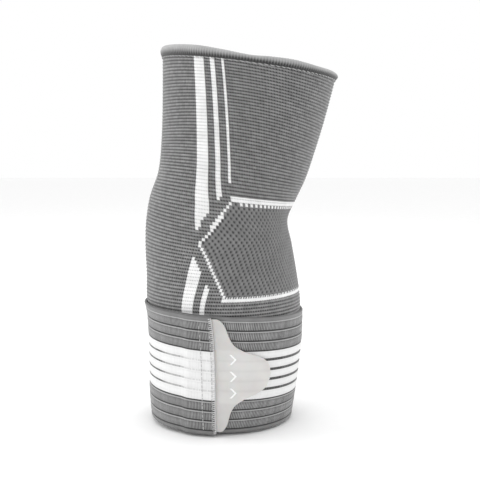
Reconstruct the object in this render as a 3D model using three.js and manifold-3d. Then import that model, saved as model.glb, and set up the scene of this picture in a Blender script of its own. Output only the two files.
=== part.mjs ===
// Knitted elbow support with a wrap-round forearm strap, in millimetres, +Z up.
// It stands on its lower cuff as it is worn, the elbow bent a little: the crease of the elbow faces +X,
// its point faces -X, and the strap's pull tab is on the -Y side.
// The origin is the middle of the lower opening, in the plane of the lower rim.
import * as THREE from "three";
import { mergeVertices } from "three/addons/utils/BufferGeometryUtils.js";
import Module from "manifold-3d";

const wasm = await Module();
wasm.setup();

// ---- Driving dimensions ----
const CLEARANCE = 0.3; // between pieces that lie on each other
const KNIT_WALL = 2.0; // thickness of the knitted tube
const WEBBING = 1.4; // thickness of the elastic strap
const AROUND = 40; // facets round a full turn

// The knitted tube's outer face, as level sections from the lower rim up.
// level: height of the section's centre; x: where that centre is; tilt: degrees, crease side down;
// reach: half size from crease to elbow point; depth: half size across the arm;
// taper: how much narrower the elbow point's side is than the crease side.
const SECTIONS = [
  { level: 0, x: 0, tilt: 0, reach: 44.2, depth: 43.4, taper: 0 },
  { level: 15.5, x: 0.5, tilt: 0, reach: 46.0, depth: 45.3, taper: 0 },
  { level: 30.5, x: 1.5, tilt: 0, reach: 47.3, depth: 46.2, taper: 0 },
  { level: 51.5, x: 2.4, tilt: 0, reach: 48.4, depth: 47.2, taper: 0 },
  { level: 69.5, x: 2.2, tilt: 0, reach: 49.1, depth: 47.8, taper: 0 },
  { level: 79.5, x: 1.2, tilt: 0, reach: 50.0, depth: 48.0, taper: 0.01 },
  { level: 95.5, x: 0.0, tilt: -0.3, reach: 48.9, depth: 46.0, taper: 0.04 },
  { level: 113.5, x: -2.0, tilt: -1, reach: 47.6, depth: 43.4, taper: 0.08 },
  { level: 129.5, x: -3.1, tilt: -0.5, reach: 45.9, depth: 41.8, taper: 0.08 },
  { level: 144.5, x: 1.1, tilt: 1, reach: 47.4, depth: 41.8, taper: 0.05 },
  { level: 158.5, x: 6.7, tilt: 3, reach: 47.6, depth: 42.4, taper: 0.02 },
  { level: 177.5, x: 10.8, tilt: 4.6, reach: 49.5, depth: 43.6, taper: 0 },
  { level: 201.5, x: 14.6, tilt: 6.2, reach: 52.5, depth: 45.6, taper: 0 },
  { level: 239.5, x: 19.3, tilt: 8.2, reach: 57.1, depth: 49.0, taper: 0 },
];

// Stretches of the tube, by level
const FOREARM_BOTTOM = 6.3;
const FOREARM_TOP = 76;
const UPPER_ARM_BOTTOM = 159.5;
const UPPER_ARM_TOP = 227.3;

// Mesh window over the crease: its outline seen across the arm, as [x, z], open towards +X
const WINDOW = [
  [80, 135.6],
  [8.7, 146.1],
  [-13.0, 118.5],
  [2.4, 85.4],
  [80, 86.3],
];
const WINDOW_BORDER = 2.2; // width of the border knitted round the window
const WINDOW_WALL = 1.6; // the mesh is thinner than the knit round it

// Cuffs
const CUFF_HEIGHT = 4.6; // of the upper cuff's roll, over the end of the tube
const CUFF_ELASTIC_HEIGHT = 1.5; // of the cord inside it
const CUFF_ELASTIC_OFFSET = -1.65;
const LOWER_ELASTIC_OFFSET = -2.2;
const LOWER_ELASTIC_LEVEL = 3.2;
const UPPER_SEAM_DROP = 0.8; // from the end of the tube down to the cuff's seam
const LOWER_SEAM_LEVEL = 8.6;
const SEAM_OFFSET = 0.75; // of a cuff seam's thread from the face of the cloth it holds
const GRIP_LOW = 212; // silicone band inside the upper cuff
const GRIP_HIGH = 221;
const GRIP_WALL = 0.8;

// Strap
const STRAP_LOW = 1.2;
const STRAP_HIGH = 74.5;
const STRAP_START = 122; // angle where the sewn end lies, under the free end
const STRAP_FOLD = 184; // angle where the free end starts to lift
const FOLD_GAP = 0.6; // degrees left open on each side of that line
const STRAP_EDGE_LOW = 93.3; // angle of the free end's edge at the bottom
const STRAP_EDGE_HIGH = 98.1; // and at the top
const STRAP_SLANT = 2.9; // how much higher it lies at the elbow point's side, and lower at the crease's
const SLANT_FROM = 30; // height above the strap's lower edge where the slant is full
const LIFT_OVER_START = 2.8; // offset of the free end where it lies on the sewn end
const LIFT_OVER_TAB = 4.3; // and where it lies on the tab's tail
const TAB_CLIMB = 8; // degrees over which the free end climbs from the sewn end to the tab's tail
const START_SEAMS = [2, 6]; // degrees of its two seams from the sewn end
const END_SEAMS = [1.8, 8.4]; // and of the two from the free end's edge
const SEAM_MARGIN = 3; // from a seam's ends to the strap's long sides
const SEAM_HALF_WIDTH = 0.4; // degrees

// Pull tab
const TAB_MIDDLE = 38; // height of its middle
const TAB_INNER = 2.9; // offset of the tab's inner face
const TAB_WALL = 1.1;
const TAB_HINGE = 2.5; // degrees from the strap's edge to the line where the tab bends
const TAB_TAIL = 10; // degrees of the tab that are sewn under the strap's edge
const MM_PER_DEGREE = 0.88; // round the forearm
// Reach of the tab from its bending line, at each height from its middle: [height, reach]
const TAB_OUTLINE = [
  [0, 33.1],
  [4.9, 31.9],
  [8.8, 29.3],
  [11.6, 24.4],
  [14.0, 18.1],
  [17.0, 12.3],
  [19.7, 9.3],
  [24.0, 7.2],
  [29.0, 5.8],
  [32.0, 4.6],
  [34.4, 2.8],
  [35.3, 1.6],
];
const HOOK_SHARE = 0.8; // the hook pad's size, as a share of the tab's
const HOOK_START = 1.2; // from the bending line
const HOOK_INNER = 2.0;
const HOOK_WALL = 0.6;

// Threads and elastics
const THREAD = 0.35; // radius of a sewn seam's thread
const ELASTIC = 0.8; // radius of the rubber cord inside each cuff

const COLOURS = {
  knit: [0x7a7a7a, 0.9],
  mesh: [0x7c7c7c, 0.9],
  white: [0xe8e8e8, 0.85],
  webbing: [0x8c8c8c, 0.85],
  tab: [0xdcdbd8, 0.45],
  hook: [0xc9c8c5, 0.8],
  rubber: [0xd8d4c8, 0.6],
  thread: [0x8a8a8a, 0.8],
};

// ---- The tube's surface ----

// The section at a level, by a cubic through the sections on both sides of it.
function sectionAt(level) {
  const last = SECTIONS.length - 1;
  let k = 0;
  while (k < last - 1 && level > SECTIONS[k + 1].level) k += 1;
  const low = SECTIONS[k];
  const high = SECTIONS[k + 1];
  const span = high.level - low.level;
  const t = (level - low.level) / span;
  const slope = (i, key) => {
    const before = SECTIONS[Math.max(i - 1, 0)];
    const after = SECTIONS[Math.min(i + 1, last)];
    return (after[key] - before[key]) / (after.level - before.level);
  };
  const value = (key) =>
    low[key] * (1 + 2 * t) * (1 - t) ** 2 +
    slope(k, key) * span * t * (1 - t) ** 2 +
    high[key] * t * t * (3 - 2 * t) +
    slope(k + 1, key) * span * t * t * (t - 1);
  return {
    x: value("x"),
    tilt: THREE.MathUtils.degToRad(value("tilt")),
    reach: value("reach"),
    depth: value("depth"),
    taper: value("taper"),
  };
}

// A point at an angle (0 crease, 90 the tab's side, 180 elbow point), a level
// and an offset out of the tube.
function onSleeve(angle, level, offset) {
  const s = sectionAt(level);
  const a = THREE.MathUtils.degToRad(angle);
  const along = (s.reach + offset) * Math.cos(a);
  const across = (s.depth + offset) * Math.sin(a) * (1 + s.taper * Math.cos(a));
  return new THREE.Vector3(
    s.x + along * Math.cos(s.tilt),
    -across,
    level - along * Math.sin(s.tilt),
  );
}

// ---- Solids ----

function geometryOf(points, triangles) {
  const geometry = new THREE.BufferGeometry();
  geometry.setAttribute(
    "position",
    new THREE.Float32BufferAttribute(points.flatMap((p) => [p.x, p.y, p.z]), 3),
  );
  geometry.setIndex(triangles);
  return geometry;
}

// A closed slab. point(u, v, side) gives its inner (0) and outer (1) faces, u and v from 0 to 1.
function slab(point, columns, rows, closed = false) {
  const across = closed ? columns : columns + 1;
  const points = [];
  for (const side of [0, 1])
    for (let j = 0; j <= rows; j += 1)
      for (let i = 0; i < across; i += 1)
        points.push(point(i / columns, j / rows, side));
  const at = (i, j, side) => (side * (rows + 1) + j) * across + (i % across);
  const triangles = [];
  const quad = (a, b, c, d) => triangles.push(a, b, c, a, c, d);
  for (let i = 0; i < columns; i += 1) {
    for (let j = 0; j < rows; j += 1) {
      quad(at(i, j, 1), at(i, j + 1, 1), at(i + 1, j + 1, 1), at(i + 1, j, 1));
      quad(at(i, j, 0), at(i + 1, j, 0), at(i + 1, j + 1, 0), at(i, j + 1, 0));
    }
    quad(at(i, 0, 0), at(i, 0, 1), at(i + 1, 0, 1), at(i + 1, 0, 0));
    quad(at(i, rows, 1), at(i, rows, 0), at(i + 1, rows, 0), at(i + 1, rows, 1));
  }
  for (let j = 0; j < rows && !closed; j += 1) {
    quad(at(0, j, 0), at(0, j + 1, 0), at(0, j + 1, 1), at(0, j, 1));
    quad(at(columns, j, 1), at(columns, j + 1, 1), at(columns, j + 1, 0), at(columns, j, 0));
  }
  return geometryOf(points, triangles);
}

// A stretch of tube all the way round, between two levels and two offsets.
function tube(low, high, inner, outer, rows) {
  const point = (u, v, side) =>
    onSleeve(360 * u, low + (high - low) * v, side ? outer : inner);
  return slab(point, AROUND, rows, true);
}

// A hoop: a closed profile of [offset, level] points swept all the way round.
function hoop(profile) {
  const count = profile.length;
  const points = [];
  for (let i = 0; i < AROUND; i += 1)
    for (const [offset, level] of profile)
      points.push(onSleeve((360 * i) / AROUND, level, offset));
  const at = (p, i) => (i % AROUND) * count + (p % count);
  const triangles = [];
  for (let i = 0; i < AROUND; i += 1)
    for (let p = 0; p < count; p += 1) {
      triangles.push(at(p, i), at(p + 1, i), at(p + 1, i + 1));
      triangles.push(at(p, i), at(p + 1, i + 1), at(p, i + 1));
    }
  return geometryOf(points, triangles);
}

// A round cord's profile for a hoop.
function roundProfile(offset, level, radius, sides = 6) {
  return Array.from({ length: sides }, (_, k) => {
    const a = (2 * Math.PI * k) / sides;
    return [offset + radius * Math.cos(a), level + radius * Math.sin(a)];
  });
}

function solidOf(geometry) {
  const bare = geometry.index ? geometry.toNonIndexed() : geometry.clone();
  bare.deleteAttribute("normal");
  bare.deleteAttribute("uv");
  const merged = mergeVertices(bare, 1e-3);
  return new wasm.Manifold(
    new wasm.Mesh({
      numProp: 3,
      vertProperties: merged.attributes.position.array,
      triVerts: new Uint32Array(merged.index.array),
    }),
  );
}

function geometryOfSolid(solid) {
  const mesh = solid.getMesh();
  const geometry = new THREE.BufferGeometry();
  geometry.setAttribute(
    "position",
    new THREE.Float32BufferAttribute(mesh.vertProperties, 3),
  );
  geometry.setIndex(new THREE.BufferAttribute(mesh.triVerts, 1));
  return geometry;
}

// ---- Knitted tube and its crease window ----

// The window's outline grown outwards by some millimetres: each side moves out along its normal.
function grownWindow(by) {
  const sides = WINDOW.slice(1).map((end, i) => {
    const start = new THREE.Vector2(...WINDOW[i]);
    const along = new THREE.Vector2(...end).sub(start).normalize();
    const out = new THREE.Vector2(along.y, -along.x).multiplyScalar(by);
    return { start: start.add(out), along };
  });
  const crossing = (a, b) => {
    const gap = b.start.clone().sub(a.start);
    const t = gap.cross(b.along) / a.along.cross(b.along);
    return a.start.clone().addScaledVector(a.along, t);
  };
  const corners = sides.slice(1).map((side, i) => crossing(sides[i], side));
  const last = sides[sides.length - 1];
  const reach = WINDOW[WINDOW.length - 1][0] - last.start.x;
  return [
    sides[0].start,
    ...corners,
    last.start.clone().addScaledVector(last.along, reach / last.along.x),
  ];
}

// The grown outline as a prism right across the arm.
function windowPrism(by) {
  const halfLength = 60; // more than half the tube's size across the arm
  const outline = new THREE.Shape(grownWindow(by));
  const prism = new THREE.ExtrudeGeometry(outline, {
    depth: 2 * halfLength,
    bevelEnabled: false,
  });
  prism.rotateX(Math.PI / 2);
  prism.translate(0, halfLength, 0);
  return solidOf(prism);
}

function elbowTube(inner, outer) {
  return solidOf(
    tube(FOREARM_TOP + CLEARANCE, UPPER_ARM_BOTTOM - CLEARANCE, inner, outer, 8),
  );
}

function elbowKnit() {
  const hole = windowPrism(WINDOW_BORDER + CLEARANCE);
  return geometryOfSolid(elbowTube(-KNIT_WALL, 0).subtract(hole));
}

function windowBorder() {
  const band = windowPrism(WINDOW_BORDER).subtract(windowPrism(0));
  return geometryOfSolid(elbowTube(-KNIT_WALL, 0).intersect(band));
}

function windowMesh() {
  const wall = elbowTube(-WINDOW_WALL, 0);
  return geometryOfSolid(wall.intersect(windowPrism(-CLEARANCE)));
}

// ---- Cuffs ----

// The tube's end folded over a rubber cord, open downwards where it is sewn.
function upperWelt() {
  const top = UPPER_ARM_TOP + CUFF_HEIGHT;
  const profile = [
    [0.7, -4.3],
    [0.9, -2.4],
    [0.2, -0.7],
    [-1.6, 0],
    [-3.4, -0.7],
    [-4.1, -2.4],
    [-4.1, -6.3],
    [-2.9, -6.3],
    [-2.9, -2.3],
    [-1.6, -1.4],
    [-0.4, -2.3],
    [-0.4, -4.3],
  ];
  return hoop(profile.map(([offset, level]) => [offset, top + level]));
}

// The same fold at the lower end, with a flat rim that the sleeve stands on.
function lowerWelt() {
  return hoop([
    [0, 0.9],
    [0, 6.0],
    [-1.1, 6.0],
    [-1.1, 2.2],
    [-1.5, 1.5],
    [-2.9, 1.5],
    [-3.3, 2.2],
    [-3.3, 7.5],
    [-4.4, 7.5],
    [-4.4, 1.0],
    [-3.9, 0],
    [-0.6, 0],
  ]);
}

// ---- Strap and tab ----

const STRAP_SPAN = STRAP_HIGH - STRAP_LOW;
const smooth = (t) => THREE.MathUtils.smoothstep(t, 0, 1);

// Angle of the free end's edge at a level: the strap is wound at a slight slant.
function edgeAngle(level) {
  const share = (level - STRAP_LOW) / STRAP_SPAN;
  return STRAP_EDGE_LOW + (STRAP_EDGE_HIGH - STRAP_EDGE_LOW) * share;
}

// A point of the strap, which is wound at a slight slant. Its lower edge stays level at the crease's side.
function onStrap(angle, level, offset) {
  const turn = Math.cos(THREE.MathUtils.degToRad(angle));
  const above = smooth((level - STRAP_LOW) / SLANT_FROM);
  const share = turn < 0 ? (1 + above) / 2 : above;
  return onSleeve(angle, level - STRAP_SLANT * turn * share, offset);
}

// The sewn part: from under the free end, round the crease side and the far side, to the fold.
function strapWrap() {
  const from = STRAP_FOLD - 360 + FOLD_GAP;
  return slab(
    (u, v, side) =>
      onStrap(
        from + (STRAP_START - from) * u,
        STRAP_LOW + STRAP_SPAN * v,
        CLEARANCE + side * WEBBING,
      ),
    36,
    5,
  );
}

// Offset of the free end's inner face: it climbs over the strap's sewn end, then over the tab's tail.
function freeEndOffset(angle) {
  const overStart = smooth((STRAP_FOLD - angle) / (STRAP_FOLD - STRAP_START - 5));
  const overTab = smooth((STRAP_START - 1 - angle) / TAB_CLIMB);
  return (
    CLEARANCE +
    (LIFT_OVER_START - CLEARANCE) * overStart +
    (LIFT_OVER_TAB - LIFT_OVER_START) * overTab
  );
}

function strapFreeEnd() {
  return slab(
    (u, v, side) => {
      const level = STRAP_LOW + STRAP_SPAN * v;
      const edge = edgeAngle(level);
      const angle = edge + (STRAP_FOLD - FOLD_GAP - edge) * u;
      return onStrap(angle, level, freeEndOffset(angle) + side * WEBBING);
    },
    14,
    5,
  );
}

// A row of stitches up the strap, at an angle, or at degrees from the free edge.
function stitchRow(angleAt, offset) {
  return slab(
    (u, v, side) => {
      const level = STRAP_LOW + SEAM_MARGIN + (STRAP_SPAN - 2 * SEAM_MARGIN) * v;
      const angle = angleAt(level) + SEAM_HALF_WIDTH * (2 * u - 1);
      return onStrap(angle, level, offset + side * 2 * THREAD);
    },
    1,
    5,
  );
}

// The tab's outline as a smooth curve; height is from the tab's middle.
const tabCurve = new THREE.CatmullRomCurve3(
  TAB_OUTLINE.map(([height, reach]) => new THREE.Vector3(height, reach, 0)),
);

// A slab that follows the tab's outline at a share of its full size.
// It starts some millimetres from the bending line.
function tabLayer(share, start, inner, wall) {
  const rows = 16;
  return slab(
    (u, v, side) => {
      const t = 2 * v - 1;
      const on = tabCurve.getPoint(Math.abs(t));
      const level = TAB_MIDDLE + Math.sign(t) * on.x * share;
      const reach = start + (on.y * share - start) * (1 - u);
      const angle = edgeAngle(level) - TAB_HINGE - reach / MM_PER_DEGREE;
      return onSleeve(angle, level, inner + side * wall);
    },
    5,
    rows,
  );
}

function tabTail() {
  const tallest = TAB_OUTLINE[TAB_OUTLINE.length - 1][0];
  return slab(
    (u, v, side) => {
      const level = TAB_MIDDLE + tallest * (2 * v - 1);
      const from = edgeAngle(level) - TAB_HINGE + CLEARANCE;
      const to = edgeAngle(level) + TAB_TAIL;
      return onSleeve(from + (to - from) * u, level, TAB_INNER + side * TAB_WALL);
    },
    3,
    8,
  );
}

// ---- The object ----

const sleeve = new THREE.Group();

function add(name, geometry, finish) {
  const [color, roughness] = COLOURS[finish];
  const material = new THREE.MeshStandardMaterial({ color, roughness, metalness: 0 });
  const mesh = new THREE.Mesh(geometry, material);
  mesh.name = name;
  sleeve.add(mesh);
}

// Knitted tube
add("forearm_knit", tube(FOREARM_BOTTOM, FOREARM_TOP, -KNIT_WALL, 0, 6), "knit");
add("elbow_knit", elbowKnit(), "knit");
add("crease_window_mesh", windowMesh(), "mesh");
add("crease_window_border", windowBorder(), "white");
add("upper_arm_knit", tube(UPPER_ARM_BOTTOM, UPPER_ARM_TOP, -KNIT_WALL, 0, 5), "knit");

// Cuffs
add("upper_cuff_welt", upperWelt(), "knit");
const upperElastic = roundProfile(
  CUFF_ELASTIC_OFFSET,
  UPPER_ARM_TOP + CUFF_ELASTIC_HEIGHT,
  ELASTIC,
);
add("upper_cuff_elastic", hoop(upperElastic), "rubber");
const upperSeam = roundProfile(SEAM_OFFSET, UPPER_ARM_TOP - UPPER_SEAM_DROP, THREAD, 4);
add("upper_hem_thread", hoop(upperSeam), "thread");
const gripOuter = -KNIT_WALL - CLEARANCE;
add("silicone_grip_ring", tube(GRIP_LOW, GRIP_HIGH, gripOuter - GRIP_WALL, gripOuter, 1), "rubber");
add("lower_cuff_welt", lowerWelt(), "knit");
const lowerElastic = roundProfile(LOWER_ELASTIC_OFFSET, LOWER_ELASTIC_LEVEL, ELASTIC);
add("lower_cuff_elastic", hoop(lowerElastic), "rubber");
const lowerSeam = roundProfile(-KNIT_WALL - SEAM_OFFSET, LOWER_SEAM_LEVEL, THREAD, 4);
add("lower_hem_thread", hoop(lowerSeam), "thread");

// Strap
add("strap_wrap", strapWrap(), "webbing");
add("strap_free_end", strapFreeEnd(), "webbing");
const startOffset = 2 * CLEARANCE + WEBBING;
START_SEAMS.forEach((degrees, i) => {
  const seam = stitchRow(() => STRAP_START - degrees, startOffset);
  add(`strap_start_stitches_${i + 1}`, seam, "thread");
});
const endOffset = LIFT_OVER_TAB + WEBBING + CLEARANCE;
END_SEAMS.forEach((degrees, i) => {
  const seam = stitchRow((level) => edgeAngle(level) + degrees, endOffset);
  add(`strap_end_stitches_${i + 1}`, seam, "thread");
});

// Tab
add("tab_sewn_tail", tabTail(), "tab");
add("pull_tab", tabLayer(1, 0, TAB_INNER, TAB_WALL), "tab");
add("hook_pad", tabLayer(HOOK_SHARE, HOOK_START, HOOK_INNER, HOOK_WALL), "hook");

export default sleeve;
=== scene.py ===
"""Looks of a knitted elbow support with a wrap-round forearm strap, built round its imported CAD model."""
import math

import bpy
import numpy as np
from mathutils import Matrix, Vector


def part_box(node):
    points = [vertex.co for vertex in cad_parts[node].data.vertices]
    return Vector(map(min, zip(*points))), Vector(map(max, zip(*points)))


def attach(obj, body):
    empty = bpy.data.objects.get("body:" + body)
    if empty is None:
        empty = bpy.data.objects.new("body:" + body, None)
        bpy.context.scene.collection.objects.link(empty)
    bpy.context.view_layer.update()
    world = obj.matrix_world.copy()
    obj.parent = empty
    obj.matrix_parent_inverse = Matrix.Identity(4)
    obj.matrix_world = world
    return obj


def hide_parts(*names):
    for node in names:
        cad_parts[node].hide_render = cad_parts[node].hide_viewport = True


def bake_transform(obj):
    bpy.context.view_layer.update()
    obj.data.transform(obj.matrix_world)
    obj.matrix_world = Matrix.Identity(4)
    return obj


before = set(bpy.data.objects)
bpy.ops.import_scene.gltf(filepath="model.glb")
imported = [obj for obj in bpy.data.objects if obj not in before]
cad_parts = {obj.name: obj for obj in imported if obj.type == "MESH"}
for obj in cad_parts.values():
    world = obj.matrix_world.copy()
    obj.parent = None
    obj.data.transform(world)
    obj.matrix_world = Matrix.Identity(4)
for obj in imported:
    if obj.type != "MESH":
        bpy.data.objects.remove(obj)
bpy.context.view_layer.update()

MM = 0.001

# ---- The sleeve's surface, in millimetres, as the CAD model has it ----
# Level sections of the knitted tube's outer face: height, the centre's x, tilt in degrees,
# half size from crease to elbow point, half size across the arm, narrowing of the elbow point's side
SECTIONS = np.array([
    (0, 0.0, 0, 44.2, 43.4, 0),
    (15.5, 0.5, 0, 46.0, 45.3, 0),
    (30.5, 1.5, 0, 47.3, 46.2, 0),
    (51.5, 2.4, 0, 48.4, 47.2, 0),
    (69.5, 2.2, 0, 49.1, 47.8, 0),
    (79.5, 1.2, 0, 50.0, 48.0, 0.01),
    (95.5, 0.0, -0.3, 48.9, 46.0, 0.04),
    (113.5, -2.0, -1, 47.6, 43.4, 0.08),
    (129.5, -3.1, -0.5, 45.9, 41.8, 0.08),
    (144.5, 1.1, 1, 47.4, 41.8, 0.05),
    (158.5, 6.7, 3, 47.6, 42.4, 0.02),
    (177.5, 10.8, 4.6, 49.5, 43.6, 0),
    (201.5, 14.6, 6.2, 52.5, 45.6, 0),
    (239.5, 19.3, 8.2, 57.1, 49.0, 0),
])
KNIT_WALL = 2.0
CLEARANCE = 0.3
WEBBING = 1.4

# Ends of the tube's knit, by height
FOREARM_BOTTOM = 6.3
UPPER_ARM_TOP = 227.3
HEM_ALLOWANCE = 1.4  # how far the topmost stitches reach up into the upper cuff

# Stitches. Wales are the upright columns of stitches, courses the rows round the arm.
# The cloth is the same on both sides of the arm, so wales are counted from the crease to the elbow's point.
HALF_WALES = 97
WALES = 2 * HALF_WALES
COURSE = 2.0  # height of a course before the cloth drapes
WALE = 1.46  # width of a wale in the texture of the yarn
ELBOW_FIRST_COURSE = 31  # the forearm's cloth ends below it
UPPER_FIRST_COURSE = 73
COURSES = 112

# Angles round the arm run from 0 degrees at the crease to 180 at the elbow's point. The wales stand evenly
# round the arm, then drift: by how many degrees at the arm's side, at some heights
WALE_DRIFT = np.array([(0, 0), (50, 7), (77, 5), (98, -4), (122, -18), (140, -13), (160, 0), (232, 17)])
# How the courses drape: their height before draping, how much they rise, half of what they lie higher at the
# crease than at the elbow's point, and half of what these two lie higher than the arm's flanks
COURSE_DRAPE = np.array([(6.3, 0, 0, 0), (76, 7, 0, 0.5), (115, 8, -5, 1.5), (150, 7.5, -4.5, -1),
                         (185, 5.5, -3, -2.5), (232, 2.5, -2, -0.5)])

# Corners of the window over the crease, seen across the arm, as x and z
WINDOW_TOP = (8.7, 145.9)
WINDOW_POINT = (-12.6, 118.5)
WINDOW_FOOT = (2.0, 84.4)

# White stripes knitted into the cloth: first wale, how many wales, and the height where they end
STRIPES = [(58, 5, 0), (53, 2, 0), (49, 1, 151.5)]
STRIPE_GAP = 4.6  # wales of grey between the stripes and the window's border
BORDER_HALF_WIDTHS = (0.65, 0.55)  # in wales, above and below the window's point

# Strap and tab, as in the CAD model
STRAP_START = 122
STRAP_FOLD = 184
STRAP_EDGE_LOW = 93.3
STRAP_EDGE_HIGH = 98.1
LIFT_OVER_START = 2.8
LIFT_OVER_TAB = 4.3
FOLD_GAP = 0.02  # degrees between the two stretches of the strap
SELVEDGE = 2.5
BANDS = 11
TAB_MIDDLE = 38
TAB_INNER = 2.9
TAB_WALL = 1.1
TAB_HINGE = 2.5
TAB_TAIL = 10
MM_PER_DEGREE = 0.88
TAB_OUTLINE = np.array([(0, 33.1), (4.9, 31.9), (8.8, 29.3), (11.6, 24.4), (14.0, 18.1), (17.0, 12.3),
                        (19.7, 9.3), (24.0, 7.2), (29.0, 5.8), (32.0, 4.6), (34.4, 2.8), (35.3, 1.2)])
HOOK_SHARE = 0.8
HOOK_START = 1.2
HOOK_INNER = 2.0
HOOK_WALL = 0.6

STRAP_SLANT = 2.9  # how much higher it lies at the elbow point's side, and lower at the crease's
STRAP_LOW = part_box("strap_wrap")[0].z / MM
STRAP_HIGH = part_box("strap_wrap")[1].z / MM - STRAP_SLANT
SLANT_FROM = 30  # height above the strap's lower edge where the slant is full

rng = np.random.default_rng(7)


def smooth(t):
    t = np.clip(t, 0, 1)
    return t * t * (3 - 2 * t)


def through(table, at):
    """The table's later columns at each value of its first one, by a cubic through its rows."""
    at = np.asarray(at, float)
    knots = table[:, 0]
    last = len(knots) - 1
    k = np.clip(np.searchsorted(knots, at, "right") - 1, 0, last - 1)
    before = np.maximum(np.arange(last + 1) - 1, 0)
    after = np.minimum(np.arange(last + 1) + 1, last)
    slopes = (table[after] - table[before]) / (knots[after] - knots[before])[:, None]
    span = knots[k + 1] - knots[k]
    t = (at - knots[k]) / span
    columns = []
    for c in range(1, table.shape[1]):
        low, high = table[k, c], table[k + 1, c]
        columns.append(low * (1 + 2 * t) * (1 - t) ** 2 + slopes[k, c] * span * t * (1 - t) ** 2
                       + high * t * t * (3 - 2 * t) + slopes[k + 1, c] * span * t * t * (t - 1))
    return columns


def on_sleeve(angle, level, offset):
    """Points at angles in degrees, and at heights and offsets out of the tube in millimetres."""
    given = (np.asarray(value, float) for value in (angle, level, offset))
    angle, level, offset = np.broadcast_arrays(*given)
    x, tilt, reach, depth, taper = through(SECTIONS, level)
    a, tilt = np.radians(angle), np.radians(tilt)
    along = (reach + offset) * np.cos(a)
    across = (depth + offset) * np.sin(a) * (1 + taper * np.cos(a))
    return np.stack([x + along * np.cos(tilt), -across, level - along * np.sin(tilt)], -1)


def edge_angle(level):
    share = (np.asarray(level, float) - STRAP_LOW) / (STRAP_HIGH - STRAP_LOW)
    return STRAP_EDGE_LOW + (STRAP_EDGE_HIGH - STRAP_EDGE_LOW) * share


def free_end_offset(angle):
    over_start = smooth((STRAP_FOLD - angle) / (STRAP_FOLD - STRAP_START - 5))
    over_tab = smooth((STRAP_START - 1 - angle) / 8)
    return (CLEARANCE + (LIFT_OVER_START - CLEARANCE) * over_start
            + (LIFT_OVER_TAB - LIFT_OVER_START) * over_tab)


def on_strap(angle, level, offset):
    """Points of the strap, wound at a slight slant. Its lower edge stays level at the crease's side."""
    turn = np.cos(np.radians(angle))
    above = smooth((np.asarray(level, float) - STRAP_LOW) / SLANT_FROM)
    share = np.where(turn < 0, (1 + above) / 2, above)
    return on_sleeve(angle, level - STRAP_SLANT * turn * share, offset)


# ---- Mesh building ----

# Painted shade in the hollows: a point that stands out RECESS_FROM or more gets no painted shade, one
# RECESS_SPAN deeper gets it in full. The lining gets a fixed painted shade.
RECESS_FROM = 0.15
RECESS_SPAN = 0.9
LINING_PAINTED_SHADE = 0.35
AROUND = 290  # millimetres round a hoop, in the texture of the yarn
SHADED_SHARE = 0.85  # of a hoop's height that its painted shade reaches up

def build(name, points, blocks, materials, paint, uv=None, painted_shade=None, tone=None):
    """An object from points in millimetres and blocks of faces, one array of corner numbers for each face
    size. paint is a list of material numbers for each block, and tone the same with a random shade."""
    mesh = bpy.data.meshes.new(name)
    used = np.unique(np.concatenate([b.ravel() for b in blocks]))
    renumber = np.zeros(len(points), np.int64)
    renumber[used] = np.arange(len(used))
    corners = np.concatenate([renumber[b].ravel() for b in blocks])
    totals = np.concatenate([np.full(len(b), b.shape[1]) for b in blocks])
    starts = np.concatenate([[0], np.cumsum(totals)[:-1]])
    mesh.vertices.add(len(used))
    mesh.vertices.foreach_set("co", (points[used] * MM).astype(np.float32).ravel())
    mesh.loops.add(len(corners))
    mesh.loops.foreach_set("vertex_index", corners.astype(np.int32))
    mesh.polygons.add(len(totals))
    mesh.polygons.foreach_set("loop_start", starts.astype(np.int32))
    for material in materials:
        mesh.materials.append(material)
    mesh.polygons.foreach_set("material_index", np.concatenate(paint).astype(np.int32))
    mesh.update(calc_edges=True)
    mesh.polygons.foreach_set("use_smooth", np.ones(len(totals), bool))
    if uv is not None:
        layer = mesh.uv_layers.new(name="cloth")
        places = np.concatenate([u.reshape(-1, 2) for u in uv]) * MM
        layer.data.foreach_set("uv", places.astype(np.float32).ravel())
    if painted_shade is not None:
        values = mesh.attributes.new("painted_shade", "FLOAT", "POINT")
        values.data.foreach_set("value", painted_shade[used].astype(np.float32))
    if tone is not None:
        values = mesh.attributes.new("tone", "FLOAT", "FACE")
        values.data.foreach_set("value", np.concatenate(tone).astype(np.float32))
    piece = bpy.data.objects.new(name, mesh)
    bpy.context.scene.collection.objects.link(piece)
    return piece


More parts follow.
